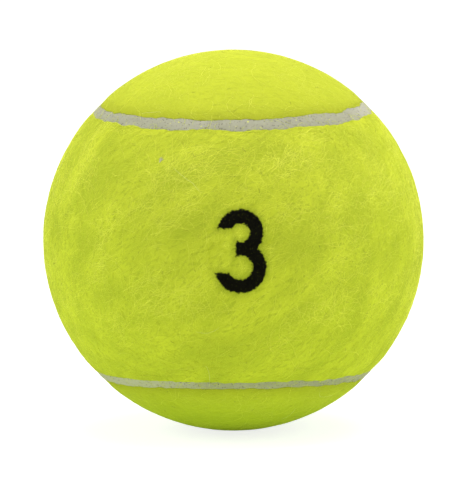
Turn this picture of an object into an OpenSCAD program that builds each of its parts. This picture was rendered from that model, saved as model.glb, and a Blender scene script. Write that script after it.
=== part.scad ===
// Tennis ball: a hollow rubber core in two half shells, under two interlocked panels of napped
// felt whose edges meet in one closed rubber seam. The origin is the ball's centre. The front
// panel's waist faces -Y and its length lies along X. The rear panel is the same, half a turn on.

/* [Ball] */
// Diameter over the nap of the felt
ball_d = 67; // [65:0.1:69]

/* [Core] */
// Wall of the hollow core
core_wall = 3.4; // [2.6:0.1:4.5]
// Film of cement between the rims of the two half shells
joint_t = 0.3; // [0.1:0.05:0.6]
// Bevel on the inner edge of each half shell's rim
rim_bevel = 0.4; // [0.2:0.05:0.5]
// Radius of the bead of cement that the joint leaves on the inner wall
bead_r = 0.8; // [0.7:0.1:1.5]
// Coat of cement all over the core, which holds the felt
coat_t = 0.2; // [0.1:0.05:0.4]

/* [Felt] */
// Thickness of the cloth, from the coat of cement to the top of its nap
felt_t = 3.2; // [2.6:0.1:4]
// Straight distance across a panel's waist, between the middle lines of its seam
waist_w = 44.4; // [42:0.1:46]
// How far the nap's rounded shoulder reaches back from the seam
shoulder_w = 0.8; // [0.5:0.05:1.4]

/* [Seam] */
// Width of the seam at its top, where it shows
seam_w = 2.6; // [1.8:0.1:3.2]
// Width of the seam at its foot, on the coat of cement
seam_foot_w = 1.4; // [0.8:0.1:1.7]
// How far the seam's top lies below the nap, whose shoulders drop to it
seam_drop = 0.3; // [0.2:0.05:0.9]

/* [Hidden] */

// Facets round a full circle
$fn = 180;

// Straight steps that round the nap's shoulder, and the last step's length past its own end,
// which carries the cut clear through the nap
shoulder_steps = 3;
last_step_share = 1.4;

// How far a straight side of the seam's section is drawn past its ends, to be trimmed there
side_share = 0.25;

// The arcs of the seam stop inside short straight links, each a hair wider than the seam
link_l = 0.5;
link_grow = 0.02;

// Radii of the layers, from the nap in to the air
ball_r = ball_d / 2;
felt_r = ball_r - felt_t;
core_r = felt_r - coat_t;
bore_r = core_r - core_wall;
seam_r = ball_r - seam_drop;

// How far a cutting shape runs past what it cuts
overrun = felt_t;
reach = ball_r + overrun;

// The seam runs through four points on the ball, midway between its X and Z axes. Between them
// it is four arcs, each on a small circle of the sphere. waist_angle is the angle from the middle
// of a panel's waist to its seam, arc_tilt is how far each circle's axis leans off the X or Z
// axis, arc_angle is the angle from that leaning axis out to the seam, and arc_sweep is how far
// each arc would turn about it to meet the next, in line with it. link_half_angle is what half of
// a link takes up of that turn.
waist_angle = asin(waist_w / ball_d);
arc_tilt = atan((sin(45) - sin(waist_angle)) / cos(waist_angle));
arc_angle = 90 - waist_angle - arc_tilt;
arc_sweep = 180 + 2 * atan(sin(arc_tilt));
link_half_angle = asin(link_l / 2 / (felt_r * sin(arc_angle)));

// Heights along an arc's axis between which its cone divides the felt
cone_low = bore_r * cos(arc_angle) / 2;
cone_high = reach;

// Colours
core_rubber = "#45423d";
joint_cement = "#8b8675";
coat_cement = "#bdb594";
yellow_felt = "#c3d139";
seam_rubber = "#b3b197";

// A point of a section through the seam, at a radius and at a distance to one side of its middle
function beside_seam(radius, distance) =
    let (angle = arc_angle + asin(distance / radius))
    [radius * sin(angle), radius * cos(angle)];

// The foot and the top of one side of the seam: side is 1 or -1, and grow is added to that side
function seam_foot(side, grow) = beside_seam(felt_r, side * (seam_foot_w / 2 + grow));
function seam_top(side, grow) = beside_seam(seam_r, side * (seam_w / 2 + grow));
function seam_rise(side, grow) = seam_top(side, grow) - seam_foot(side, grow);

// A point of the nap's shoulder: turn runs from 0 at the seam's top to 90 at the top of the nap
function shoulder_point(side, turn, grow) = beside_seam(
    ball_r - seam_drop * (1 - sin(turn)),
    side * (seam_w / 2 + shoulder_w * (1 - cos(turn)) + grow)
);

// One side of the gap between the two panels, from inside the felt to well outside it
function gap_side(side, grow) =
    let (
        step = 90 / shoulder_steps,
        last = shoulder_point(side, 90 - step, grow)
    )
    [
        seam_foot(side, grow) - side_share * seam_rise(side, grow),
        for (i = [0 : shoulder_steps - 1]) shoulder_point(side, i * step, grow),
        last + last_step_share * (shoulder_point(side, 90, grow) - last),
        beside_seam(reach, side * (seam_w / 2 + shoulder_w + overrun + grow))
    ];

// Section of the gap between the two panels
module gap_section(grow) {
    far_side = gap_side(1, grow);
    polygon(concat(
        gap_side(-1, grow),
        [for (i = [len(far_side) - 1 : -1 : 0]) far_side[i]]
    ));
}

// Section of the seam, with its straight sides drawn past its top and its foot
module seam_section(grow) {
    polygon([
        seam_foot(-1, grow) - side_share * seam_rise(-1, grow),
        seam_top(-1, grow) + side_share * seam_rise(-1, grow),
        seam_top(1, grow) + side_share * seam_rise(1, grow),
        seam_foot(1, grow) - side_share * seam_rise(1, grow)
    ]);
}

// Runs a section, drawn in the plane of an arc's axis, along the upper arc of the front waist
module along_arc() {
    sweep = arc_sweep - link_half_angle;
    rotate([arc_tilt, 0, 0])
        rotate_extrude(start = -90 - sweep / 2, angle = sweep)
            children();
}

// Runs a section along the links at the two ends of that arc
module along_links() {
    for (end = [-1, 1])
        rotate([arc_tilt, 0, 0])
            rotate([90, 0, -90 + end * arc_sweep / 2])
                linear_extrude(height = link_l, center = true)
                    children();
}

// Puts its children at the arcs or caps above and below the front waist
module above_and_below() {
    children();
    rotate([0, 180, 0])
        children();
}

// Half a turn about the line through two of the seam's four points, which swaps the panels
module swap_panels() {
    rotate(180, [1, 0, 1])
        children();
}

// Runs a section all round the seam: the first child is the section, the second the links' own
module along_seam() {
    above_and_below()
        along_arc()
            children(0);
    swap_panels()
        above_and_below()
            along_arc()
                children(0);
    above_and_below()
        along_links()
            children(1);
}

// The cone inside the upper arc's circle, without its tip
module cap_cone() {
    rotate([arc_tilt, 0, 0])
        translate([0, 0, cone_low])
            cylinder(
                h = cone_high - cone_low,
                r1 = cone_low * tan(arc_angle),
                r2 = cone_high * tan(arc_angle)
            );
}

// The space between the two panels, open to the outside
module panel_gap() {
    along_seam() {
        gap_section(0);
        gap_section(link_grow);
    }
}

// The rear half of space, less the caps at the two ends of the front panel
module behind_front_panel() {
    difference() {
        translate([-reach, 0, -reach])
            cube([2 * reach, reach, 2 * reach]);
        swap_panels()
            above_and_below()
                cap_cone();
    }
}

// A whole ball of felt, hollow where the core lies, divided along the seam
module divided_felt() {
    difference() {
        difference() {
            sphere(ball_r);
            sphere(felt_r);
        }
        panel_gap();
    }
}

module front_panel_shape() {
    difference() {
        difference() {
            divided_felt();
            above_and_below()
                cap_cone();
        }
        behind_front_panel();
    }
}

// Section of the upper half shell, right of its axis
module half_shell_section() {
    rim_y = joint_t / 2;
    difference() {
        intersection() {
            difference() {
                circle(core_r);
                circle(bore_r);
            }
            translate([0, rim_y])
                square(reach);
        }
        polygon([
            [bore_r + rim_bevel + joint_t, rim_y - joint_t],
            [bore_r - rim_bevel, rim_y + 2 * rim_bevel],
            [bore_r - rim_bevel, rim_y - joint_t]
        ]);
    }
}

// Section of the joint: the film between the rims, and the bead that fills their bevels
module joint_section() {
    difference() {
        union() {
            intersection() {
                circle(core_r);
                translate([bore_r, -joint_t / 2])
                    square([reach, joint_t]);
            }
            translate([bore_r, 0])
                circle(bead_r);
        }
        half_shell_section();
        mirror([0, 1])
            half_shell_section();
    }
}

module core_half_upper() {
    color(core_rubber)
        rotate_extrude()
            half_shell_section();
}

module core_half_lower() {
    color(core_rubber)
        mirror([0, 0, 1])
            rotate_extrude()
                half_shell_section();
}

module core_joint_cement() {
    color(joint_cement)
        rotate_extrude()
            joint_section();
}

module cover_cement() {
    color(coat_cement)
        difference() {
            sphere(felt_r);
            sphere(core_r);
        }
}

module felt_panel_front() {
    color(yellow_felt)
        front_panel_shape();
}

module felt_panel_rear() {
    color(yellow_felt)
        swap_panels()
            front_panel_shape();
}

// The rubber between the panels' edges: its sides are the gap's own
module seam_cement() {
    color(seam_rubber)
        intersection() {
            difference() {
                sphere(seam_r);
                sphere(felt_r);
            }
            along_seam() {
                seam_section(0);
                seam_section(link_grow);
            }
        }
}

core_half_upper();
core_half_lower();
core_joint_cement();
cover_cement();
felt_panel_front();
felt_panel_rear();
seam_cement();
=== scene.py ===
"""The look of a tennis ball: two napped felt panels, their fibres, a rubber seam and a moulded core."""

import math
from functools import cache

import bpy
import numpy as np
from mathutils import Matrix, Vector, noise
from mathutils.bvhtree import BVHTree


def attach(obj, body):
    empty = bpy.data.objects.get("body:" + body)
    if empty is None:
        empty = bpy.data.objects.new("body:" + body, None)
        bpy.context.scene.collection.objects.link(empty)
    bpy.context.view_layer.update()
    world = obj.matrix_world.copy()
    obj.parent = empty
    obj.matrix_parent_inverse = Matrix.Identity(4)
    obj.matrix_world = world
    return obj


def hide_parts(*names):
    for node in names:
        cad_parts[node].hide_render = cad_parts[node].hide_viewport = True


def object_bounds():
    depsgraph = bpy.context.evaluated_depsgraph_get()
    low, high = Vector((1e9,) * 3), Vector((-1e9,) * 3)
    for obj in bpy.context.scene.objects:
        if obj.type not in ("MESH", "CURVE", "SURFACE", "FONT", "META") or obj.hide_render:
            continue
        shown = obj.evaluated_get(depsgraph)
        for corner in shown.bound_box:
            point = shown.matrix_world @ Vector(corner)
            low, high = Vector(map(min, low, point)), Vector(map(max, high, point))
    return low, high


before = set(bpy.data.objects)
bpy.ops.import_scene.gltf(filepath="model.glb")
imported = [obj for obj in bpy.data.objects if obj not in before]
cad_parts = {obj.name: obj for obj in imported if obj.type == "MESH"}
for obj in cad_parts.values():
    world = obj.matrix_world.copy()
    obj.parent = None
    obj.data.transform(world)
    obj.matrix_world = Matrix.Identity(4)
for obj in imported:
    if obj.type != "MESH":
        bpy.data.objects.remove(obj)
CAD_BOX = [list(corner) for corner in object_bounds()]

bl_info = {
    "name": "Tennis ball",
    "version": (1, 0, 0),
    "blender": (4, 5, 0),
    "location": "3D View > Sidebar > Tennis ball",
    "description": "Felt, fibres, seam, core finishes and studio for a packed tennis ball",
    "category": "Object",
}

MM = 0.001
BODY = "root"


def numbers(items, name):
    """A whole number of each of these parts of a mesh."""
    found = np.empty(len(items), np.int32)
    items.foreach_get(name, found)
    return found


def vectors(items, name):
    """A vector of each of these parts of a mesh, as an array with one row each."""
    found = np.empty(len(items) * 3, np.float32)
    items.foreach_get(name, found)
    return found.reshape(-1, 3).astype(float)


# What the frame gives: the radii of the felt's back, of the top of its nap and of its middle
FELT_RADII = np.linalg.norm(vectors(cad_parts["felt_panel_front"].data.vertices, "co"), axis=1)
BACK_R, NAP_R = float(FELT_RADII.min()), float(FELT_RADII.max())
MIDDLE_R = (NAP_R + BACK_R) / 2


def colour(hex_code):
    """An sRGB hex code as the linear colour that the shaders take."""
    channels = [int(hex_code[i:i + 2], 16) / 255 for i in (0, 2, 4)]
    return tuple(c / 12.92 if c <= 0.04045 else ((c + 0.055) / 1.055) ** 2.4 for c in channels) + (1.0,)


def length(name, mm, description):
    """A length property, given in millimetres."""
    return bpy.props.FloatProperty(name=name, description=description, default=mm * MM, unit="LENGTH")


def angle(name, degrees, description):
    """An angle property, given in degrees."""
    return bpy.props.FloatProperty(
        name=name, description=description, default=math.radians(degrees), subtype="ANGLE"
    )


def paint(name, hex_code, description):
    """A colour property, given as an sRGB hex code."""
    return bpy.props.FloatVectorProperty(
        name=name, description=description, default=colour(hex_code), size=4, subtype="COLOR", min=0, max=1
    )


class BallSizes(bpy.types.PropertyGroup):
    """Real sizes of what the dressing adds, and of the seam that it follows"""

    waist_w: length("Waist width", 44.4, "Across a panel's waist, between the seam's middle lines")
    seam_w: length("Seam width", 2.6, "Width of the seam at its top")
    seam_foot_w: length("Seam foot width", 1.4, "Width of the seam on the coat of cement")
    shoulder_w: length("Shoulder width", 2.2, "How far the nap's rounded edge reaches back")
    shoulder_drop: length("Shoulder drop", 0.18, "How far the nap's rounded edge drops to the seam")
    ragged: length("Ragged edge", 0.35, "How far the felt's cut edge wanders either way")
    overhang: length("Overhang", 0.2, "How far the nap lies over the seam's edges")
    low_overhang: length("Low overhang", 0.5, "How much further it does so below the front waist")
    relief: length("Nap relief", 0.08, "Height of the tufts and hollows in the nap")
    fibre_d: length("Fibre width", 0.045, "Twice a real fibre's, so that single fibres show")
    fibre_l: length("Fibre length", 4.0, "Mean length of a fibre where it lies on the nap")
    digit_h: length("Digit height", 14, "Height of the printed digit")
    digit_w: length("Digit stroke", 2.3, "Width of the printed digit's stroke")
    digit_x: length("Digit place across", 2.6, "Distance of the digit right of the ball's centre")
    digit_z: length("Digit place up", 1.6, "Distance of the digit above the ball's centre")
    fluff_x: length("Fluff place across", -11.0, "Distance of the grey fluff right of the ball's centre")
    fluff_z: length("Fluff place up", 16.2, "Distance of the grey fluff above the ball's centre")


class BallColours(bpy.types.PropertyGroup):
    """Colours of the ball's materials"""

    # Painted shade: the nap's depths between the fibres are darker than the fibres
    ground: paint("Felt ground", "bac735", "The nap's depths, between the fibres")
    hollow: paint("Felt hollows", "a3b22e", "The greener, darker clouds in the nap")
    deep: paint("Deep fibres", "c2cf37", "The darkest of the four shades of fibre")
    green: paint("Green fibres", "cdd93e", "The second shade of fibre")
    yellow: paint("Yellow fibres", "d8e346", "The third shade of fibre")
    pale: paint("Pale fibres", "e4ec58", "The lightest shade of fibre")
    even: paint("Even nap", "aebb30", "What the shades of the smoother rear nap draw near to")
    # Painted shade: fibres and felt beside the seam are darkened where the nap rounds down to it
    edge_shade: paint("Matted fibres", "a4ad2c", "Fibres beside the seam, matted by its rubber")
    ink: paint("Ink", "060605", "The printed digit")
    misted: paint("Ink mist", "71841a", "The nap beside the print, where a little ink has crept")
    dirt: paint("Dark bits", "5d6420", "Specks and short dark hairs caught in the nap")
    lint: paint("Lint", "e4ea9a", "Pale stray hairs")
    fluff: paint("Fluff", "c2c2b4", "The tuft of grey fluff caught in the nap")
    seam: paint("Seam", "8e917a", "The rubber of the seam")
    # The seam's rubber is lighter in broad patches, one of them at the lower left of the front
    seam_pale_patch: paint("Clean seam", "a9ab98", "The seam's rubber where it has stayed clean")
    seam_dark: paint("Seam specks", "5e5b47", "Specks in the seam's rubber")
    core: paint("Core rubber", "45423d", "The moulded half shells")
    bloom: paint("Core bloom", "6a665e", "The pale film that comes to the surface of cured rubber")
    joint: paint("Joint cement", "8b8675", "The cement between the half shells")
    coat: paint("Coat of cement", "bdb594", "The cement that holds the felt on the core")


class StudioSettings(bpy.types.PropertyGroup):
    """The camera's view of the ball"""

    turn: angle("Camera turn", 2.5, "How far the camera stands to the right of the ball's front")
    rise: angle("Camera rise", 6.1, "How far the camera stands above the ball's middle")
    roll: angle("Camera roll", -0.5, "How far the camera leans to its side")
    distance: length("Camera distance", 603, "From the ball's centre")


def sizes():
    """The scene's sizes of the ball."""
    return bpy.context.scene.ball_sizes


def colours():
    """The scene's colours of the ball."""
    return bpy.context.scene.ball_colours


# The seam's route, and what strays from it


LEAST = 1e-12  # a length to divide by in place of none


def unit(p):
    """Vectors brought to a length of 1."""
    return p / np.linalg.norm(p, axis=-1, keepdims=True).clip(LEAST)


class SeamRoute:
    """The seam's middle line: four arcs of small circles, through four points between X and Z."""

    def __init__(self):
        waist = math.asin(sizes().waist_w / 2 / NAP_R)
        tilt = math.atan((math.sqrt(0.5) - math.sin(waist)) / math.cos(waist))
        self.lean, self.rise = math.sin(tilt), math.cos(tilt)
        self.reach = math.pi / 2 - waist - tilt
        # Axes of the two arcs beside the front waist, and of the two beside the rear one
        self.front_axes = [np.array([0, -self.lean, end * self.rise]) for end in (1, -1)]
        self.rear_axes = [np.array([end * self.rise, self.lean, 0]) for end in (1, -1)]

    def ahead(self, p):
        """Whether the arc that belongs to each unit vector p is one beside the front waist."""
        return self.lean * (np.abs(p[:, 0]) - np.abs(p[:, 2])) - self.rise * p[:, 1] > 0

    def near(self, p):
        """Signed distance of unit vectors p from the seam, positive on the front panel, and the
        unit direction in which it grows."""
        ahead = self.ahead(p)[:, None]
        zero = np.zeros(len(p))
        front = np.stack([zero, zero - self.lean, np.where(p[:, 2] < 0, -self.rise, self.rise)], 1)
        rear = np.stack([np.where(p[:, 0] < 0, -self.rise, self.rise), zero + self.lean, zero], 1)
        axis = np.where(ahead, front, rear)
        side = np.where(ahead, 1.0, -1.0)
        along = (p * axis).sum(1).clip(-1, 1)
        growing = unit((along[:, None] * p - axis) * side)
        return NAP_R * side[:, 0] * (np.arccos(along) - self.reach), growing


# The panels go by their side: 1 is the front one and -1 the rear one
WHERE = {1: "front", -1: "rear"}

# The way in which each panel's nap is combed
COMBED = {1: unit(np.array([0.8, 0, 0.6])), -1: unit(np.array([0.9, 0, -0.35]))}
STRETCH = 0.68  # share by which patterns in the nap are drawn out that way
SIDE_LOSS = 0.7  # share of the stretch that is lost at the ball's left and right

# How tufted each panel's nap is, how far apart its shades are, and how much painted shade darkens its edge
# where the nap rounds down to the seam: the rear one is the smoother and more even, and its edge has the more
# painted shade
TUFTED = {1: 1.0, -1: 0.3}
VARIED = {1: 1.0, -1: 0.35}
EDGE_SHADE = {1: 0.2, -1: 0.9}
EDGE_SHADE_REACH = 1.5 * MM  # how far from the edge a third of the painted edge shade is left

# Seeds of the noises, to which small steps are added, and of the random draws
EDGE_SEED, RELIEF_SEED, RUB_SEED, CROWN_SEED, PALE_PATCH_SEED = 3, 30, 7, 71, 1229
SHADE_SEEDS = (2132, 892, 95)
NAP_DRAWS, LOOSE_DRAWS = 500, 77
SEED_STEP = (7.31, -3.77, 5.13)  # how far one seed's noise lies from the next one's

FULL_FRONT = -0.5  # the front is in full where a unit vector's Y is less than this


def edge_share(past_edge):
    """How much of the painted shade along the edge is left this far from it."""
    return np.exp(-past_edge.clip(0, None) / EDGE_SHADE_REACH)


def lumps(p, size, seed, side=0):
    """Soft noise of about -1 to 1 over the ball at unit vectors p, with lumps of this size, which
    are drawn out along the nap if a side is given, and less so towards the ball's left and right."""
    shift = Vector([seed * step for step in SEED_STEP])
    scale = NAP_R / size
    if side:
        drawn = STRETCH * (1 - SIDE_LOSS * p[:, 0] ** 2) * (p @ COMBED[side])
        p = p - drawn[:, None] * COMBED[side]
    return np.array([noise.noise(Vector(q) * scale + shift) for q in p])


def lump_sum(p, *layers):
    """The sum of several such noises, each given as its weight, size, seed and perhaps side."""
    return sum(weight * lumps(p, *rest) for weight, *rest in layers)


def frontness(p):
    """1 over the front of the ball at unit vectors p, falling to 0 at its left and right."""
    return (p[:, 1] / FULL_FRONT).clip(0, 1)


def wander(p, side):
    """How far a panel's cut edge strays from its line, away from the seam."""
    seed = EDGE_SEED + side
    stray = lump_sum(p, (1, 4.5 * MM, seed), (0.7, 2.2 * MM, seed + 3), (0.6, 1.1 * MM, seed + 6))
    below_waist = (p[:, 2] < 0) * frontness(p) * (side > 0)
    return sizes().ragged * stray - sizes().overhang - sizes().low_overhang * below_waist


def either_wander(p, distance):
    """The same for the panel on whose side of the seam this distance is."""
    return np.where(distance > 0, wander(p, 1), wander(p, -1))


def panel_swap():
    """Half a turn about the line midway between X and Z, which swaps the panels."""
    return Matrix.Rotation(math.pi, 4, Vector((1, 0, 1)).normalized())


# Steps in edit mode


def start(kind, **settings):
    """Adds a primitive at the origin, with nothing else selected."""
    bpy.ops.object.select_all(action="DESELECT")
    getattr(bpy.ops.mesh, f"primitive_{kind}_add")(location=(0, 0, 0), **settings)
    return bpy.context.object


def only(obj):
    """Makes this the one selected and active object."""
    bpy.ops.object.select_all(action="DESELECT")
    obj.select_set(True)
    bpy.context.view_layer.objects.active = obj


def edit_faces(obj, chosen, *steps):
    """Takes steps in edit mode with only the chosen faces selected."""
    mesh = obj.data
    mesh.vertices.foreach_set("select", np.zeros(len(mesh.vertices), bool))
    mesh.edges.foreach_set("select", np.zeros(len(mesh.edges), bool))
    mesh.polygons.foreach_set("select", np.asarray(chosen, bool))
    bpy.ops.object.mode_set(mode="EDIT")
    bpy.ops.mesh.select_mode(type="FACE")
    for step in steps:
        step()
    bpy.ops.object.mode_set(mode="OBJECT")


def face_centres(mesh):
    """Unit vectors towards the middles of a mesh's faces."""
    return unit(vectors(mesh.polygons, "center"))


def rays_of(mesh):
    """A mesh's points as unit vectors, and their distances from the ball's centre."""
    points = vectors(mesh.vertices, "co")
    return unit(points), np.linalg.norm(points, axis=1)


def put(mesh, points):
    """Moves a mesh's points to these places."""
    mesh.vertices.foreach_set("co", np.asarray(points, np.float32).ravel())
    mesh.update()


def thicken(obj, thickness):
    """Gives a skin its thickness, inwards."""
    only(obj)
    modifier = obj.modifiers.new("thickness", "SOLIDIFY")
    modifier.thickness, modifier.offset, modifier.use_even_offset = thickness, -1, False
    bpy.ops.object.modifier_apply(modifier=modifier.name)


# Pieces cut from a ball's skin: the felt panels and the seam


SQUARES = 104  # along each side of the cube that is blown up to a ball
SPARE = 2 * MM  # kept beyond a piece's edges until they are cut
FINE = 3 * MM  # nearer the seam than this, the squares are divided once more
ROW_REACH = 4 * MM  # how far from the seam the cuts along it run
CORNER_REACH = 0.25  # how far those between its arcs run, as a share of the radius
MERGED = 0.02 * MM  # points nearer each other than this become one
ON_PLANE = 1e-7  # a point this near a cutting plane, in metres, lies on it


def cut_skin(radius, rows, low, high):
    """The part of a ball's skin between two distances from the seam, with a line of edges along
    each row, which is a distance too."""
    route = SeamRoute()
    obj = start("cube", size=2)
    mesh = obj.data

    def keep_between(low, high):
        """Deletes the faces that aren't between two distances from the seam."""
        distance, _ = route.near(face_centres(mesh))
        edit_faces(obj, (distance < low) | (distance > high), lambda: bpy.ops.mesh.delete(type="FACE"))

    edit_faces(obj, np.ones(6), lambda: bpy.ops.mesh.subdivide(number_cuts=SQUARES - 1))
    put(mesh, radius * unit(np.tan(vectors(mesh.vertices, "co") * math.pi / 4)))

    keep_between(low - SPARE, high + SPARE)
    distance, _ = route.near(face_centres(mesh))
    edit_faces(obj, np.abs(distance) < FINE, lambda: bpy.ops.mesh.subdivide(number_cuts=1))
    put(mesh, radius * unit(vectors(mesh.vertices, "co")))

    # The arcs meet at planes through the ball's centre
    for x in (-1, 1):
        for z in (-1, 1):
            normal = np.array([route.lean * x, -route.rise, -route.lean * z])
            corner = unit(np.array([x, 0.0, z]))
            beside = np.linalg.norm(face_centres(mesh) - corner, axis=1) < CORNER_REACH
            slice_faces(obj, beside, normal, 0)
    for row in rows:
        for front, axes in ((True, route.front_axes), (False, route.rear_axes)):
            for axis in axes:
                p = face_centres(mesh)
                distance, _ = route.near(p)
                beside = (np.abs(distance) < ROW_REACH) & (route.ahead(p) == front) & (p @ axis > 0)
                cone = route.reach + (row if front else -row) / NAP_R
                slice_faces(obj, beside, axis, radius * math.cos(cone))
    keep_between(low, high)
    edit_faces(
        obj,
        np.ones(len(mesh.polygons)),
        lambda: bpy.ops.mesh.remove_doubles(threshold=MERGED),
        lambda: bpy.ops.mesh.normals_make_consistent(inside=False),
    )
    return obj


def slice_faces(obj, chosen, normal, offset):
    """Cuts the chosen faces with the plane at this offset along its normal."""
    normal = unit(normal)
    plane = {"plane_co": tuple(normal * offset), "plane_no": tuple(normal), "threshold": ON_PLANE}
    edit_faces(obj, chosen, lambda: bpy.ops.mesh.bisect(**plane))


SHOULDER_TURNS = (0, 25, 50, 75)  # degrees round the nap's shoulder at which a line of edges runs
EDGE_PULL = 1.2 * MM  # how far from the edge a point moves a third as far as the edge
STILL = 7 * MM  # points further from the seam than this don't move
EDGE_RELIEF = 0.35  # share of the relief that the edge has


def panel_rows():
    """Distances from the seam of the lines of edges that round the nap's shoulder."""
    s = sizes()
    return [s.seam_w / 2 + s.shoulder_w * (1 - math.cos(math.radians(turn))) for turn in SHOULDER_TURNS]


def foot_slide():
    """How far the foot of a cut edge lies from under its top, at the nap's radius: less than 0,
    because the seam narrows to its foot."""
    s = sizes()
    return s.seam_foot_w / 2 * NAP_R / BACK_R - s.seam_w / 2


def shape_panel(obj, side):
    """Gives a panel its ragged cut edge, its leaning wall, its rounded shoulder and its relief."""
    s, mesh = sizes(), obj.data
    p, radius = rays_of(mesh)
    distance, growing = SeamRoute().near(p)
    distance, growing = side * distance, side * growing
    top = radius > MIDDLE_R
    edge = s.seam_w / 2
    share = np.exp((edge - distance).clip(None, 0) / EDGE_PULL)
    slide = share * foot_slide()
    moved = top & (distance < STILL)
    slide[top] = 0
    slide[moved] = share[moved] * wander(p[moved], side)
    p = unit(p + growing * (slide / NAP_R)[:, None])

    across = ((distance - edge) / s.shoulder_w).clip(0, 1)
    drop = s.shoulder_drop * (1 - across) ** 2 * (1 + across)
    height = np.zeros(len(p))
    seed = RELIEF_SEED + 10 * side
    height[top] = lump_sum(
        p[top], (0.7, 3 * MM, seed, side), (0.5, 1.3 * MM, seed + 1, side), (0.3, 0.85 * MM, seed + 2)
    )
    lift = s.relief * TUFTED[side] * (height - 1) * (EDGE_RELIEF + (1 - EDGE_RELIEF) * across)
    put(mesh, p * np.where(top, NAP_R - drop + lift, radius)[:, None])
    # Painted shade along the cut edge, which the felt's material reads
    keep_value(mesh, "edge_shade", EDGE_SHADE[side] * edge_share(distance - edge))


def keep_value(mesh, name, values):
    """Stores a number at each point of a mesh, for its material to read."""
    mesh.attributes.new(name, "FLOAT", "POINT").data.foreach_set("value", values.astype(np.float32))


# A panel's map: the angles that its length and width stand for, the middle and breadth of its nap's
# and its back's bands and of the line of its cut edge, and how high that line lies
MAP_LENGTH, MAP_WIDTH = math.radians(290), math.radians(100)
NAP_BAND, BACK_BAND, EDGE_BAND, EDGE_LINES = (0.74, 0.46), (0.24, 0.42), (0.52, 0.47), (0.5, 0.485)


def lay_out_panel(obj, side):
    """Maps a panel as it is cut from flat cloth, its length along U and its width along V: the nap
    in the upper half of the map, the back in the lower one, and the cut edge as a line between."""
    mesh = obj.data
    points = vectors(mesh.vertices, "co")
    if side < 0:
        points = points @ np.array(panel_swap().to_3x3()).T
    p = unit(points)
    top = np.linalg.norm(points, axis=1) > MIDDLE_R
    corners = numbers(mesh.loops, "vertex_index")
    totals = numbers(mesh.polygons, "loop_total")
    face = np.repeat(np.arange(len(totals)), totals)
    tops = np.bincount(face, top[corners])
    wall = ((tops > 0) & (tops < totals))[face]

    u = 0.5 + np.arctan2(p[:, 0], -p[:, 1])[corners] / MAP_LENGTH
    width = (np.arcsin(p[:, 2].clip(-1, 1)) / MAP_WIDTH)[corners]
    v = np.where(top[corners], NAP_BAND[0] + NAP_BAND[1] * width, BACK_BAND[0] + BACK_BAND[1] * width)
    round_edge = np.arctan2(p[:, 2], p[:, 0])[corners]
    least = np.full(len(totals), math.inf)
    np.minimum.at(least, face, round_edge)
    round_edge = np.where(round_edge - least[face] > math.pi, round_edge - 2 * math.pi, round_edge)
    u = np.where(wall, EDGE_BAND[0] + EDGE_BAND[1] * round_edge / math.pi, u)
    v = np.where(wall, np.where(top[corners], *EDGE_LINES), v)
    keep_map(mesh, u, v)


def keep_map(mesh, u, v):
    """Stores the map that the piece's pattern is laid out on, in place of any other."""
    while mesh.uv_layers:
        mesh.uv_layers.remove(mesh.uv_layers[0])
    flat = np.stack([u, v], 1).clip(0.001, 0.999).astype(np.float32)
    mesh.uv_layers.new(name="OFBake").uv.foreach_set("vector", flat.ravel())


def settle(obj, name, material):
    """Names a finished piece, gives it its material and fixes it to the ball."""
    obj.name = obj.data.name = name
    obj.data.materials.clear()
    obj.data.materials.append(material)
    obj.data.shade_smooth()
    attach(obj, BODY)
    return obj


PANELS = (("felt_front", "felt_panel_front", 1), ("felt_rear", "felt_panel_rear", -1))
UNDER_FELT = 0.06 * MM  # how far the seam's rubber runs in under the felt's edges
SEAM_CROWN = 0.06 * MM  # how much higher the seam is along its middle than along its edges
SEAM_RELIEF = 0.04 * MM  # how high the lumps in its top are


class TENNIS_OT_panels(bpy.types.Operator):
    """Cuts the two felt panels from a ball's skin and shapes their nap"""

    bl_idname = "tennis.panels"
    bl_label = "Felt panels"

    def execute(self, context):
        rows = panel_rows()
        front = cut_skin(NAP_R, rows, rows[0], math.inf)
        thicken(front, NAP_R - BACK_R)
        only(front)
        bpy.ops.object.duplicate()
        rear = context.object
        rear.data.transform(panel_swap())
        for obj, (name, node, side) in zip((front, rear), PANELS):
            shape_panel(obj, side)
            lay_out_panel(obj, side)
            settle(obj, name, felt_cloth(side))
            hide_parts(node)
        return {"FINISHED"}


class TENNIS_OT_seam(bpy.types.Operator):
    """Cuts the rubber seam from a ball's skin and fills the gap between the panels with it"""

    bl_idname = "tennis.seam"
    bl_label = "Rubber seam"

    def execute(self, context):
        edge, seam_r = sizes().seam_w / 2, NAP_R - sizes().shoulder_drop
        obj = cut_skin(seam_r, (-edge, edge), -edge, edge)
        thicken(obj, seam_r - BACK_R)
        mesh = obj.data
        p, radius = rays_of(mesh)
        distance, growing = SeamRoute().near(p)
        top = radius > (seam_r + BACK_R) / 2
        share = (np.abs(distance) / edge).clip(0, 1)
        slide = share * np.where(top, either_wander(p, distance) + UNDER_FELT, foot_slide())
        p = unit(p + growing * (np.sign(distance) * slide / NAP_R)[:, None])
        crown = SEAM_CROWN * (0.3 - share ** 2) + SEAM_RELIEF * lumps(p, 1.1 * MM, CROWN_SEED)
        put(mesh, p * np.where(top, radius + crown, radius)[:, None])
        keep_value(mesh, "pale_patch", lumps(p, 18 * MM, PALE_PATCH_SEED))
        settle(obj, "seam_rubber", seam_rubber())
        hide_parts("seam_cement")
        return {"FINISHED"}


# Fibres


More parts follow.
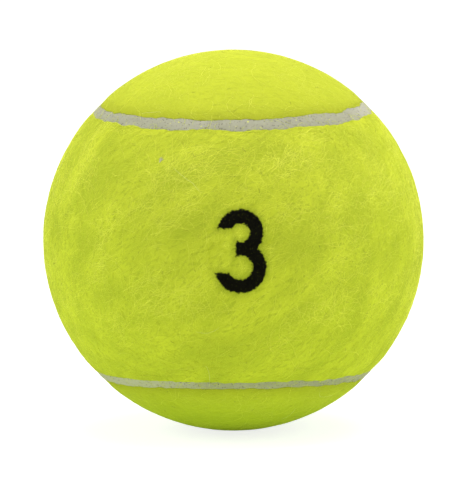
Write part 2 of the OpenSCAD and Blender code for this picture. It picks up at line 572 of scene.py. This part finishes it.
RUNS = 6  # straight runs along a fibre
TURNS = np.radians((90, 210, 330))  # corners round a fibre
PRESSED = 0.5  # a fibre's thickness as a share of its width
TIP, BLUNTNESS = 0.25, 0.4  # how soon a fibre's taper starts, and how blunt it is
KINKS = 0.2  # how unevenly a fibre bends, in radians a run
SINK = 0.02 * MM  # how far its ends dip into the nap
UNEVEN = 0.006 * MM  # how unevenly it lies
JOSTLE = 0.5  # how far fibres are jostled, as a share of the space between them
RUBBED = 10 * MM  # size of the swirls in which the nap has been rubbed
EDGE_DEPTH = 0.2 * MM  # how far below the nap's edge a fibre lies where no skin is under it


def tangent(p, v):
    """The direction of v along the ball's skin at p."""
    return unit(v - (p * v).sum(-1, keepdims=True) * p)


def scatter(rng, count, where):
    """Unit vectors spread evenly and then jostled, as many as count over the whole ball, less those
    at which where is false."""
    turn = np.arange(count) * math.pi * (3 - math.sqrt(5))
    z = 1 - (2 * np.arange(count) + 1) / count
    flat = np.sqrt(1 - z * z)
    p = np.stack([flat * np.cos(turn), flat * np.sin(turn), z], 1)
    p = unit(p + rng.normal(0, JOSTLE * math.sqrt(4 * math.pi / count), p.shape))
    return p[where(p)]


def swirl(p, seed):
    """The direction in which the nap has been rubbed at p."""
    noise.seed_set(seed)  # or the clock would seed noise_vector
    scale, shift = NAP_R / RUBBED, Vector((seed, 2 * seed, -seed))
    return np.array([noise.noise_vector(Vector(q) * scale + shift) for q in p])


def walk(p, heading, long, curl, rng, hold):
    """Routes over the ball from each p, as an array of fibres by points: long is each one's length,
    curl its mean bend in radians a run, and hold keeps the points where they may lie."""
    route = [p]
    for _ in range(RUNS):
        ahead = unit(p + heading * (long / RUNS / NAP_R)[:, None])
        heading = tangent(ahead, heading)
        bend = (curl + rng.normal(0, KINKS, len(p)))[:, None]
        heading = heading * np.cos(bend) + np.cross(ahead, heading) * np.sin(bend)
        p = hold(ahead)
        route.append(p)
    return np.stack(route, 1)


def ground(trees, p):
    """Distance from the ball's centre to the outermost of these skins under unit vectors p, or to
    just below the nap's edge where there is none as far out."""
    far = 1.1 * NAP_R
    found = np.full(p.size // 3, NAP_R - sizes().shoulder_drop - EDGE_DEPTH)
    for i, q in enumerate(p.reshape(-1, 3)):
        q = Vector(q)
        for tree in trees:
            hit = tree.ray_cast(q * far, -q)[3]
            if hit is not None:
                found[i] = max(found[i], far - hit)
    return found.reshape(p.shape[:-1])


def skins(*names):
    """The skins of these pieces, to cast rays at."""
    graph = bpy.context.evaluated_depsgraph_get()
    return [BVHTree.FromObject(bpy.data.objects[name], graph) for name in names]


def spin_fibres(routes, thick):
    """One mesh of closed three-sided fibres with pointed ends, along routes in metres, each pressed
    flat."""
    count, stops, _ = routes.shape
    rings, sides = stops - 2, len(TURNS)
    forward = unit(np.gradient(routes, axis=1))
    across = unit(np.cross(forward, unit(routes)))
    out = np.cross(across, forward)
    spoke = PRESSED * out[:, :, None] * np.sin(TURNS)[:, None]
    spoke = spoke + across[:, :, None] * np.cos(TURNS)[:, None]
    taper = np.sin(np.linspace(TIP, math.pi - TIP, stops)) ** BLUNTNESS
    body = routes[:, :, None] + spoke * (thick[:, None] / 2 * taper)[:, :, None, None]
    body = body[:, 1:-1].reshape(count, rings * sides, 3)
    points = np.concatenate([routes[:, :1], body, routes[:, -1:]], 1)

    faces = []
    last = 1 + rings * sides
    for a in range(sides):
        b = (a + 1) % sides
        faces.append((0, 1 + b, 1 + a))
        for ring in range(rings - 1):
            low, high = 1 + ring * sides, 1 + (ring + 1) * sides
            faces.append((low + a, low + b, high + b, high + a))
        faces.append((last - sides + a, last - sides + b, last))
    totals = np.tile([len(face) for face in faces], count)
    corners = np.concatenate(faces)[None] + (np.arange(count) * points.shape[1])[:, None]
    mesh = bpy.data.meshes.new("fibres")
    mesh.vertices.add(points.size // 3)
    mesh.vertices.foreach_set("co", points.astype(np.float32).ravel())
    mesh.loops.add(corners.size)
    mesh.loops.foreach_set("vertex_index", corners.astype(np.int32).ravel())
    mesh.polygons.add(len(totals))
    mesh.polygons.foreach_set("loop_start", (np.cumsum(totals) - totals).astype(np.int32))
    mesh.update(calc_edges=True)
    mesh.validate()
    return mesh


def fibre_piece(name, routes, thick, material):
    """Makes a piece of many fibres."""
    obj = bpy.data.objects.new(name, spin_fibres(routes, thick))
    bpy.context.scene.collection.objects.link(obj)
    return settle(obj, name, material)


def arch(count, rng, low, high):
    """Heights along fibres that dip into the nap at both ends and rise between low and high."""
    along = np.linspace(0, 1, RUNS + 1)
    rise = rng.uniform(low, high, (count, 1))
    return rise * np.sin(math.pi * along) ** 0.7 - SINK + rng.normal(0, UNEVEN, (count, RUNS + 1))


TONES = ("deep", "green", "yellow", "pale", "edge_shade")
QUARTERS = (0.25, 0.5, 0.75)  # of the fibres, by shade
# How far in from the cut edge fibres start and are held, and how far in that is looked at
START, HELD, LOOKED_AT = 0.15 * MM, 0.06 * MM, 1.5 * MM
# How much rubbing and chance turn fibres from the combed way, and their bend in radians a run
RUBBING, CHANCE, BEND = 0.7, 0.55, 0.24
RISE = (0.01 * MM, 0.05 * MM)  # their least and greatest
# Painted shade low on the front panel, which faces down: its fibres take deeper shades from where down, over
# what height, and by how much
LOW_SHADE_FROM, LOW_SHADE_OVER, LOW_SHADE_BY = 0.35, 0.2, 0.9


class TENNIS_OT_nap(bpy.types.Operator):
    """Lays the nap's combed fibres on both panels: in four shades, in a darker one as painted shade beside
    the seam, and under the ink
    """

    bl_idname = "tennis.nap"
    bl_label = "Combed nap"

    count: bpy.props.IntProperty(name="Fibres", description="On both panels together", default=50000)

    def execute(self, context):
        s, route = sizes(), SeamRoute()
        edge = s.seam_w / 2
        for name, _, side in PANELS:
            rng = np.random.default_rng(NAP_DRAWS + side)

            def on_nap(p):
                """Whether a fibre may start there."""
                return side * route.near(p)[0] > edge + wander(p, side) + START

            def hold(p):
                """Draws what has run past the cut edge back to it."""
                distance, growing = route.near(p)
                near = side * distance < edge + LOOKED_AT
                short = np.zeros(len(p))
                short[near] = edge + wander(p[near], side) + HELD - side * distance[near]
                return unit(p + side * growing * (short.clip(0) / NAP_R)[:, None])

            p = scatter(rng, self.count, on_nap)
            way = COMBED[side] + RUBBING * swirl(p, RUB_SEED + side)
            heading = tangent(p, way + CHANCE * rng.normal(size=p.shape))
            long = s.fibre_l * rng.uniform(0.55, 1.45, len(p))
            paths = walk(p, heading, long, rng.normal(0, BEND, len(p)), rng, hold)
            radius = TUFTED[side] * arch(len(p), rng, *RISE) + ground(skins(name), paths)
            paths = paths * radius[:, :, None]
            thick = s.fibre_d * rng.uniform(0.75, 1.25, len(p))
            # Large, middling and small patches of shade, and single fibres that differ
            large, middling, small = (seed + side for seed in SHADE_SEEDS)
            shade = lump_sum(p, (1, 8 * MM, large, side), (1, 3.6 * MM, middling, side))
            shade += 0.6 * lumps(p, 1.2 * MM, small, side) + 0.15 * rng.normal(size=len(p))
            # Painted shade: the front panel's fibres grow deeper towards its underside
            if side > 0:
                shade -= LOW_SHADE_BY * ((-p[:, 2] - LOW_SHADE_FROM) / LOW_SHADE_OVER).clip(0, 1) * frontness(p)
            shade = np.searchsorted(np.quantile(shade, QUARTERS), shade)
            # Fibres beside the seam take the darker tone, as painted shade where the nap rounds down to it
            past_edge = side * route.near(unit(paths[:, RUNS // 2]))[0] - edge
            edge_shade = rng.random(len(p)) < EDGE_SHADE[side] * edge_share(past_edge)
            shade[edge_shade] = TONES.index("edge_shade")
            inked = near_digit(paths).any(1)
            stem = name.replace("felt", "nap")
            for i, tone in enumerate(TONES):
                chosen = (shade == i) & ~inked
                material = dyed_fibre(tone, side)
                fibre_piece(f"{stem}_{tone}", paths[chosen], thick[chosen], material)
            if inked.any():
                piece = fibre_piece(f"{stem}_printed", paths[inked], thick[inked], printed_fibre())
                lay_out_fibres(piece, inked.sum())
        return {"FINISHED"}


def lay_out_fibres(obj, count):
    """Maps each fibre of a piece to a cell of its own in a square grid, its length along V."""
    corners = numbers(obj.data.loops, "vertex_index")
    sides, rings = len(TURNS), RUNS - 1
    per = 2 + rings * sides
    fibre, spot = corners // per, corners % per
    cells = math.ceil(math.sqrt(count))
    along = np.where(spot == 0, 0, np.where(spot == per - 1, rings + 1, 1 + (spot - 1) // sides))
    around = np.where((spot == 0) | (spot == per - 1), 1, (spot - 1) % sides)
    u = (fibre % cells + 0.15 + 0.35 * around) / cells
    v = (fibre // cells + 0.1 + 0.8 * along / (rings + 1)) / cells
    keep_map(obj.data, u, v)


# Stray pieces: name, number, least and greatest length in mm, bend in radians a run, least and
# greatest rise in mm, width in fibres' widths, and tone
STRAYS = (
    ("loose_fibres", 800, (3, 8), 0.3, (0.04, 0.12), 1, "pale"),
    ("pale_hairs", 24, (4, 9), 0.25, (0.06, 0.2), 1.1, "lint"),
    ("dark_bits", 300, (0.2, 1.3), 0.3, (0.04, 0.1), 1.1, "dirt"),
)


class TENNIS_OT_loose_fibres(bpy.types.Operator):
    """Lays what lies loose: fibres over the seam and on the nap, hairs, dark bits and a tuft of fluff"""

    bl_idname = "tennis.loose_fibres"
    bl_label = "Loose fibres"

    def execute(self, context):
        s, route = sizes(), SeamRoute()
        rng = np.random.default_rng(LOOSE_DRAWS)
        trees = skins("felt_front", "felt_rear", "seam_rubber")
        edge = s.seam_w / 2

        def lay(name, p, long, curl, rise, wide, tone, heading=None):
            """Makes a piece of fibres that start at p, with their rise in mm."""
            if heading is None:
                heading = rng.normal(size=p.shape)
            paths = walk(p, tangent(p, heading), long, rng.normal(0, curl, len(p)), rng, lambda q: q)
            paths = paths[~near_digit(paths * NAP_R).any(1)]
            radius = ground(trees, paths) + arch(len(paths), rng, rise[0] * MM, rise[1] * MM)
            thick = wide * s.fibre_d * rng.uniform(0.8, 1.2, len(paths))
            fibre_piece(name, paths * radius[:, :, None], thick, dyed_fibre(tone, 1))

        def at_edge(p):
            """Whether a point is on a narrow band beside a cut edge."""
            distance, _ = route.near(p)
            off = np.abs(distance) - edge - either_wander(p, distance)
            return np.abs(off - 0.2 * MM) < 0.2 * MM

        def off_seam(p):
            """Whether a point is on a panel."""
            return np.abs(route.near(p)[0]) > edge

        # From the cut edges over the seam
        p = scatter(rng, 45000, at_edge)
        distance, growing = route.near(p)
        over = -np.sign(distance)[:, None] * growing + 0.9 * rng.normal(size=p.shape)
        long = 0.4 * MM + 2 * MM * rng.random(len(p)) ** 2
        lay("seam_fibres", p, long, 0.3, (0.04, 0.12), 1, "green", over)

        for name, count, (least, most), curl, rise, wide, tone in STRAYS:
            p = scatter(rng, count, off_seam)
            lay(name, p, rng.uniform(least * MM, most * MM, len(p)), curl, rise, wide, tone)

        # Short hairs that stand side by side, pointing up
        spot = np.array([s.fluff_x, -math.sqrt(NAP_R ** 2 - s.fluff_x ** 2 - s.fluff_z ** 2), s.fluff_z])
        p = unit(spot + rng.normal(0, (0.06 * MM, 0, 0.2 * MM), (14, 3)))
        long = rng.uniform(0.4 * MM, 0.9 * MM, len(p))
        upwards = np.array([0.1, 0, 1.0]) + 0.2 * rng.normal(size=p.shape)
        lay("grey_fluff", p, long, 0.3, (0.08, 0.2), 1.2, "fluff", upwards)
        return {"FINISHED"}


# Materials


def add(tree, kind, *values, out=None, **settings):
    """Adds a shader node and gives the output of that name, or its first one in use. A second word
    in kind is its operation or type of data. Its inputs in use take the values, or sockets to link
    from, in their order, and None leaves one as it is."""
    kind, _, mode = kind.partition(" ")
    node = tree.nodes.new("ShaderNode" + kind)
    if mode:
        settings["data_type" if kind == "Mix" else "operation"] = mode
    for name, value in settings.items():
        setattr(node, name, value)
    for socket, value in zip([socket for socket in node.inputs if socket.enabled], values):
        if isinstance(value, bpy.types.NodeSocket):
            tree.links.new(value, socket)
        elif value is not None:
            socket.default_value = value
    return node.outputs[out] if out else next(socket for socket in node.outputs if socket.enabled)


def in_view(tree):
    """1 for rays of the camera, reflections and glass, which see a white background, and 0 for the
    rest, which light the ball."""
    rays = add(tree, "LightPath").node.outputs
    seen = add(tree, "Math MAXIMUM", rays["Is Camera Ray"], rays["Is Glossy Ray"])
    return add(tree, "Math MAXIMUM", seen, rays["Is Transmission Ray"])


def clouds(tree, at, size, low=0.35, high=0.65, detail=3.0):
    """Noise with patches of this size, spread between 0 and 1."""
    return add(tree, "MapRange", add(tree, "TexNoise", at, 1 / size, detail, 0.55), low, high)


def finish(tree, shader, base, at, size, height, strength):
    """Gives a shader its colour and a fine broken surface, with grains of this size and height."""
    tree.links.new(base, shader.inputs["Base Color"])
    fine = add(tree, "TexNoise", at, 1 / size, 3.0, 0.65)
    tree.links.new(add(tree, "Bump", strength, height, None, fine), shader.inputs["Normal"])


def new_material(name, **sockets):
    """A material of one principled shader with these values set on its sockets, its tree, its
    shader, and the place on the object that patterns read."""
    material = bpy.data.materials.new(name)
    material.use_nodes = True
    tree = material.node_tree
    shader = tree.nodes["Principled BSDF"]
    for key, value in sockets.items():
        shader.inputs[key.replace("_", " ")].default_value = value
    return material, tree, shader, add(tree, "TexCoord", out="Object")


UPPER_SHARE, LOWER_SHARE = 0.46, 0.54  # of the digit's height: its upper bowl is the smaller
OPENING = 0.25  # how far a bowl's open part reaches, as a share of its radius
BLEED = 1.1 * MM  # how far the ink strays in the nap
MIST = 1.1 * MM  # how far from the strokes the nap is misted with ink
INKED = 1.2 * MM  # how near the strokes a fibre has to come to be of the printed piece
FRAY = 0.12 * MM  # how soft the edge of the ink is


def bowls():
    """Radii of the middle lines of the digit's upper and lower bowls, which touch."""
    spare = (sizes().digit_h - sizes().digit_w) / 2
    return UPPER_SHARE * spare, LOWER_SHARE * spare


def near_digit(points):
    """Which points are on the front of the ball, in or beside the printed digit's two bowls."""
    s = sizes()
    upper_r, lower_r = bowls()
    x, up = points[..., 0] - s.digit_x, points[..., 2] - (s.digit_z + lower_r - upper_r)
    upper, lower = np.hypot(x, up - upper_r) - upper_r, np.hypot(x, up + lower_r) - lower_r
    return (points[..., 1] < 0) & (np.minimum(np.abs(upper), np.abs(lower)) < s.digit_w / 2 + INKED)


def off_digit(tree, at):
    """Distance from the edge of a printed figure three, negative inside its strokes, which stray as
    ink strays in a nap."""
    s = sizes()
    upper_r, lower_r = bowls()
    stray = add(tree, "TexNoise", at, 1 / (0.5 * MM), 4.0, 0.7, out="Color")
    stray = add(tree, "VectorMath SUBTRACT", stray, (0.5, 0.5, 0.5))
    stray = add(tree, "VectorMath SCALE", stray, BLEED)
    place = add(tree, "SeparateXYZ", add(tree, "VectorMath ADD", at, stray)).node.outputs
    x = add(tree, "Math SUBTRACT", place[0], s.digit_x)
    z = add(tree, "Math SUBTRACT", place[2], s.digit_z + lower_r - upper_r)

    def bowl(radius, way):
        """Distance from one bowl's stroke, open at its left: way is 1 for the upper bowl, else -1."""
        up = add(tree, "Math SUBTRACT", z, way * radius)
        square = add(tree, "Math MULTIPLY", x, x)
        square = add(tree, "Math ADD", square, add(tree, "Math MULTIPLY", up, up))
        off = add(tree, "Math SUBTRACT", add(tree, "Math SQRT", square), radius)
        off = add(tree, "Math SUBTRACT", add(tree, "Math ABSOLUTE", off), s.digit_w / 2)
        left = add(tree, "Math SUBTRACT", -OPENING * radius, x)
        inner = add(tree, "Math SUBTRACT", up, way * OPENING * radius)
        inner = add(tree, "Math MULTIPLY", inner, -way)
        return add(tree, "Math MAXIMUM", off, add(tree, "Math MINIMUM", left, inner))

    off = add(tree, "Math MINIMUM", bowl(upper_r, 1), bowl(lower_r, -1))
    behind = add(tree, "Math GREATER_THAN", place[1], 0.0)
    return add(tree, "Math ADD", off, behind)


def printed(tree, at, base):
    """A colour under the digit's ink: black in its strokes, with thin spots, and a mist round them."""
    c, off = colours(), off_digit(tree, at)
    mist = add(tree, "MapRange", off, MIST, 0.0, 0.0, 0.45)
    base = add(tree, "Mix RGBA", mist, base, c.misted)
    ink = add(tree, "MapRange", off, FRAY, -FRAY)
    cover = add(tree, "MapRange", clouds(tree, at, 0.35 * MM, 0.58, 0.78), 0.0, 1.0, 1.0, 0.92)
    ink = add(tree, "Math MULTIPLY", ink, cover)
    return add(tree, "Mix RGBA", ink, base, c.ink)


BLACK = (0, 0, 0, 1)
SHEEN = {"Sheen_Weight": 0.08, "Sheen_Roughness": 0.5}  # of wool, whose loose ends catch the light


def mix_of(first, second, share):
    """A share of the second colour in the first."""
    return tuple(a + share * (b - a) for a, b in zip(first, second))


def felt_cloth(side):
    """Napped wool and nylon felt: dull, with green clouds drawn out along the nap, in the colour of the nap's
    depths, darker than its fibres as painted shade, with darker spots of painted shade in the gaps between
    fibres and painted shade beside the seam. Those gaps are too fine to show, so their shade is drawn some
    ten times as wide."""
    c = colours()
    material, tree, shader, at = new_material(
        f"napped_wool_felt_{WHERE[side]}", Roughness=0.95, Specular_IOR_Level=0.05, Sheen_Tint=c.pale, **SHEEN
    )
    way = tuple(COMBED[side])
    pull = add(tree, "VectorMath DOT_PRODUCT", at, way)
    pull = add(tree, "Math MULTIPLY", pull, STRETCH)
    pull = add(tree, "VectorMath SCALE", way, pull)
    drawn = add(tree, "VectorMath SUBTRACT", at, pull)
    ground, hollow = (mix_of(c.even, tone, VARIED[side]) for tone in (c.ground, c.hollow))
    base = add(tree, "Mix RGBA", clouds(tree, drawn, 5 * MM), hollow, ground)
    # Painted shade in the gaps between fibres
    gap_shade = clouds(tree, drawn, 0.45 * MM, 0.3, 0.5, 2.0)
    base = add(tree, "Mix RGBA", gap_shade, mix_of(BLACK, hollow, 0.92), base)
    # Painted shade beside the seam, where the nap rounds down to it
    edge_shade = add(tree, "Attribute", attribute_name="edge_shade", out="Fac")
    base = add(tree, "Mix RGBA", edge_shade, base, mix_of(BLACK, c.edge_shade, 0.8))
    finish(tree, shader, printed(tree, at, base), at, 0.25 * MM, 0.03 * MM, 0.5)
    return material


@cache
def dyed_fibre(tone, side):
    """Dyed wool fibre as it is on this panel: matt, with a faint pale sheen along its length."""
    c = colours()
    return new_material(
        f"dyed_wool_{tone}_{WHERE[side]}", Base_Color=mix_of(c.even, getattr(c, tone), VARIED[side]),
        Roughness=0.8, Specular_IOR_Level=0.3, Sheen_Tint=c.pale, **SHEEN,
    )[0]


def printed_fibre():
    """Dyed wool fibre under black screen ink, which has run a little along it."""
    c = colours()
    material, tree, shader, at = new_material("screen_printed_wool", Roughness=0.9, Specular_IOR_Level=0.05)
    base = add(tree, "Mix RGBA", clouds(tree, at, 1.5 * MM), c.deep, c.pale)
    tree.links.new(printed(tree, at, base), shader.inputs["Base Color"])
    return material


def seam_rubber():
    """Vulcanised rubber: warm grey, lighter in broad patches, matt, with dark and yellow specks and a grain,
    both drawn a few times coarser than real ones, so that they show."""
    c = colours()
    material, tree, shader, at = new_material("vulcanised_rubber", Roughness=0.75, Specular_IOR_Level=0.3)
    place = add(tree, "Attribute", attribute_name="pale_patch", out="Fac")
    base = c.seam
    for share, tone in (
        (clouds(tree, at, 1.4 * MM), mix_of(BLACK, c.seam, 1.12)),
        (add(tree, "MapRange", place, 0.0, 0.6), c.seam_pale_patch),
        (clouds(tree, at, 0.32 * MM, 0.62, 0.7, 1.0), c.seam_dark),
        (clouds(tree, at, 0.35 * MM, 0.68, 0.74, 2.0), c.yellow),
    ):
        base = add(tree, "Mix RGBA", share, base, tone)
    finish(tree, shader, base, at, 0.3 * MM, 0.04 * MM, 0.6)
    return material


@cache
def moulded_rubber():
    """Filled natural rubber from a press mould: dark, matt, with a pale bloom in soft patches."""
    c = colours()
    material, tree, shader, at = new_material("press_moulded_rubber", Roughness=0.7, Specular_IOR_Level=0.4)
    base = add(tree, "Mix RGBA", clouds(tree, at, 6 * MM, 0.4, 0.8), c.core, c.bloom)
    finish(tree, shader, base, at, 0.5 * MM, 0.03 * MM, 0.5)
    return material


def cured_cement(tone, patch):
    """Cured rubber cement: a tacky, half-glossy film, thicker in brushed patches."""
    base = getattr(colours(), tone)
    material, tree, shader, at = new_material(f"rubber_cement_{tone}", Roughness=0.45, Specular_IOR_Level=0.5)
    base = add(tree, "Mix RGBA", clouds(tree, at, patch), mix_of(BLACK, base, 0.72), base)
    finish(tree, shader, base, at, 0.8 * MM, 0.05 * MM, 0.4)
    return material


class TENNIS_OT_core(bpy.types.Operator):
    """Gives the hidden pieces their finishes: the half shells, their joint and the coat of cement"""

    bl_idname = "tennis.core"
    bl_label = "Core finishes"

    def execute(self, context):
        finishes = {
            "core_half_upper": moulded_rubber(),
            "core_half_lower": moulded_rubber(),
            "core_joint_cement": cured_cement("joint", 2 * MM),
            "cover_cement": cured_cement("coat", 5 * MM),
        }
        for node, material in finishes.items():
            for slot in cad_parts[node].material_slots:
                slot.material = material
        return {"FINISHED"}


# Each lamp's name, place, width, power and tint
LAMPS = (
    ("top_box", (0.08, 0.02, 0.62), 0.6, 5.85, (1, 0.88, 0.97)),
    ("left_box", (-0.62, -0.1, 0.32), 0.4, 2.42, (0.95, 1, 1)),
    ("right_box", (0.62, -0.1, 0.32), 0.4, 1.7, (0.93, 1, 1)),
)
SOFT_LIGHT = 0.32  # what the surround gives the ball

# Distances in metres from the ball's centre to the floor, and the strengths between them: how white the
# camera sees the paper, and how the painted glow that the paper gives the ball's underside rises and falls in
# a ring
WHITE = (0.1, 0.5, 0.8, 1.0)
RING_RISE, RING_FALL = (0.034, 0.038, 0.3, 1.0), (0.042, 0.056, 0.42, 0.235)


class TENNIS_OT_stage(bpy.types.Operator):
    """Sets the floor, the lamps, the white surround and the camera"""

    bl_idname = "tennis.stage"
    bl_label = "Studio"

    def execute(self, context):
        scene = context.scene
        floor = start("plane", size=6)
        floor.name = "floor"
        floor.data.transform(Matrix.Translation((0, 0, CAD_BOX[0][2])))
        floor.data.materials.append(self.floor_finish())
        self.surround(scene)
        for lamp in LAMPS:
            self.lamp(scene, *lamp)
        scene.view_settings.view_transform = "Standard"
        self.camera(scene)
        return {"FINISHED"}

    def floor_finish(self):
        """Matt white paper, which the camera sees as white, with the ball's shadow on it. To the ball it is
        yellowish and glows yellow-green, most in a ring beside it: painted light in place of the light that
        the nap throws back."""
        material, tree, _, at = new_material("matt_white_paper")
        away = add(tree, "VectorMath LENGTH", at)
        seen = add(
            tree, "AddShader", add(tree, "BsdfDiffuse", (0.4, 0.4, 0.4, 1)),
            add(tree, "Emission", (1, 1, 1, 1), add(tree, "MapRange", away, *WHITE)),
        )
        rise, fall = (add(tree, "MapRange", away, *ends) for ends in (RING_RISE, RING_FALL))
        painted_glow = add(tree, "Math MULTIPLY", rise, fall)
        # Painted light: what the ball sees of the paper, a yellowish colour and a yellow-green glow
        lit = add(
            tree, "AddShader", add(tree, "BsdfDiffuse", (0.8, 0.82, 0.65, 1)),
            add(tree, "Emission", (0.75, 1, 0.3, 1), painted_glow),
        )
        surface = add(tree, "MixShader", in_view(tree), lit, seen)
        tree.links.new(surface, tree.nodes["Material Output"].inputs["Surface"])
        return material

    def surround(self, scene):
        """White to the camera and in reflections, and a soft light on the ball."""
        world = bpy.data.worlds.new("surround")
        scene.world = world
        world.use_nodes = True
        tree = world.node_tree
        background = tree.nodes["Background"]
        background.inputs["Color"].default_value = (1, 1, 1, 1)
        strength = add(tree, "MapRange", in_view(tree), 0.0, 1.0, SOFT_LIGHT, 1.0)
        tree.links.new(strength, background.inputs["Strength"])

    def lamp(self, scene, name, place, size, power, tint):
        """A square lamp that faces the ball."""
        light = bpy.data.lights.new(name, "AREA")
        light.shape = "SQUARE"
        light.size, light.energy, light.color = size, power, tint
        lamp = bpy.data.objects.new(name, light)
        lamp.location = place
        lamp.rotation_euler = (-Vector(place)).to_track_quat("-Z", "Y").to_euler()
        scene.collection.objects.link(lamp)

    def camera(self, scene):
        """Frames the ball as in the photograph."""
        s = scene.studio
        longer_side_px = 480  # of an image of 469 by 480
        ball_px, offset_px = 190.6, 1.1  # the ball's radius, and how far left of the middle it stands
        data = bpy.data.cameras.new("camera")
        focal_px = ball_px / math.tan(math.asin(NAP_R / s.distance))
        data.lens = focal_px * data.sensor_width / longer_side_px
        data.clip_start, data.clip_end = 0.01, 20
        back = Vector((
            math.sin(s.turn) * math.cos(s.rise), -math.cos(s.turn) * math.cos(s.rise), math.sin(s.rise)
        ))
        look = (-back).to_track_quat("-Z", "Y")
        aside = look @ Vector((offset_px / focal_px * s.distance, 0, 0))
        camera = bpy.data.objects.new("camera", data)
        camera.rotation_mode = "QUATERNION"
        camera.rotation_quaternion = Matrix.Rotation(s.roll, 3, back).to_quaternion() @ look
        camera.location = back * s.distance + aside
        scene.collection.objects.link(camera)
        scene.camera = camera


class TENNIS_PT_steps(bpy.types.Panel):
    """Lists the steps that make the ball"""

    bl_idname = "TENNIS_PT_steps"
    bl_label = "Tennis ball"
    bl_space_type = "VIEW_3D"
    bl_region_type = "UI"
    bl_category = "Tennis ball"

    def draw(self, context):
        for step in STEPS:
            self.layout.operator(step.bl_idname)


STEPS = (
    TENNIS_OT_panels, TENNIS_OT_seam, TENNIS_OT_nap, TENNIS_OT_loose_fibres, TENNIS_OT_core, TENNIS_OT_stage,
)
GROUPS = {"ball_sizes": BallSizes, "ball_colours": BallColours, "studio": StudioSettings}


def register():
    """Registers the classes and gives the scene its settings."""
    for cls in (*GROUPS.values(), *STEPS, TENNIS_PT_steps):
        bpy.utils.register_class(cls)
    for name, group in GROUPS.items():
        setattr(bpy.types.Scene, name, bpy.props.PointerProperty(type=group))


def unregister():
    """Takes them away again."""
    for name in GROUPS:
        delattr(bpy.types.Scene, name)
    for cls in (TENNIS_PT_steps, *reversed(STEPS), *GROUPS.values()):
        bpy.utils.unregister_class(cls)


def main():
    """Makes all pieces and the stage."""
    register()
    bpy.ops.tennis.panels()
    bpy.ops.tennis.seam()
    bpy.ops.tennis.nap()
    bpy.ops.tennis.loose_fibres()
    bpy.ops.tennis.core()
    bpy.ops.tennis.stage()


if __name__ == "__main__":
    main()
